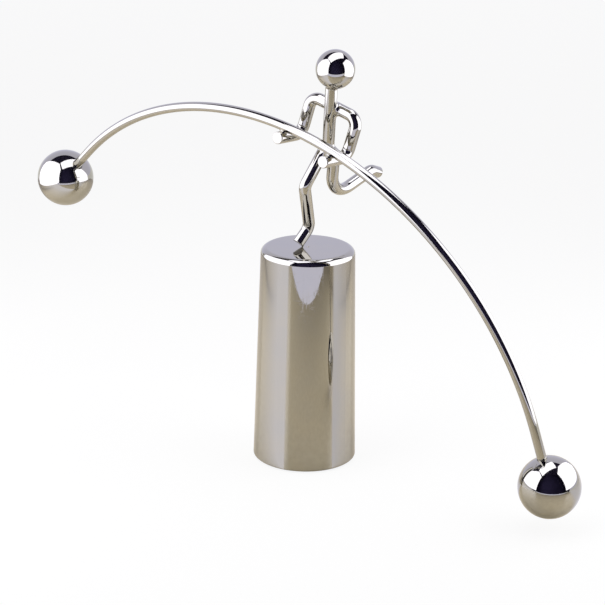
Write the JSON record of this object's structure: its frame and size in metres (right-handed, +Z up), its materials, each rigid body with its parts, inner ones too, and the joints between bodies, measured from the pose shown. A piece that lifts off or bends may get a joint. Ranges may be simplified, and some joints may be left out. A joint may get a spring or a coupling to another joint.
{
  "type": "pendulum balancing figurine",
  "caption": "Weight lifter of bent, plated rod that stands on one foot on a tapered pedestal and rocks, nods and turns on it, balanced by balls on a long curved bar.",
  "frame": {"origin": "middle of the pedestal's underside, on the table", "axes": "+Z up; the figure faces -Y; +X toward the figure's left hand, which is the low end of the bar at rest"},
  "size_m": [0.2598, 0.0542, 0.1646],
  "materials": {
    "plated_steel": "polished plating",
    "iron": "as cast",
    "bare_steel": "turned",
    "pad": "matt foam"
  },
  "bodies": {
    "pedestal": {"pedestal_shell": "plated_steel", "pedestal_weight": "iron", "closing_disc": "bare_steel", "clamp_screw": "bare_steel", "underside_pad": "pad"},
    "lifted_foot": {"contact_point_lift": "plated_steel"},
    "turning_foot": {"contact_point_turn": "plated_steel"},
    "rocking_foot": {"contact_point_sway": "plated_steel"},
    "figure": {"standing_leg_rod": "plated_steel", "raised_leg_rod": "plated_steel", "torso_rod": "plated_steel", "arms_rod": "plated_steel", "head_ball": "plated_steel", "balance_bar": "plated_steel", "ball_weight_left": "plated_steel", "ball_weight_right": "plated_steel", "neck_braze": "plated_steel", "shoulder_braze": "plated_steel", "hip_braze": "plated_steel", "grip_braze_left": "plated_steel", "grip_braze_right": "plated_steel"}
  },
  "joints": [
    {"name": "lift_off", "type": "slide", "parent": "pedestal", "child": "lifted_foot", "axis": [0, 0, 1], "range_m": [0, 0.05]},
    {"name": "turn", "type": "hinge", "parent": "lifted_foot", "child": "turning_foot", "pos_m": [-0.00205, -0.0008, 0.0855], "axis": [0, 0, 1], "continuous": true},
    {"name": "rock_sideways", "type": "hinge", "parent": "turning_foot", "child": "rocking_foot", "pos_m": [-0.00205, -0.0008, 0.0855], "axis": [0, 1, 0], "range_deg": [-36, 1.7]},
    {"name": "nod", "type": "hinge", "parent": "rocking_foot", "child": "figure", "pos_m": [-0.00205, -0.0008, 0.0855], "axis": [0.9673, 0, -0.2538], "range_deg": [-12, 12]}
  ]
}
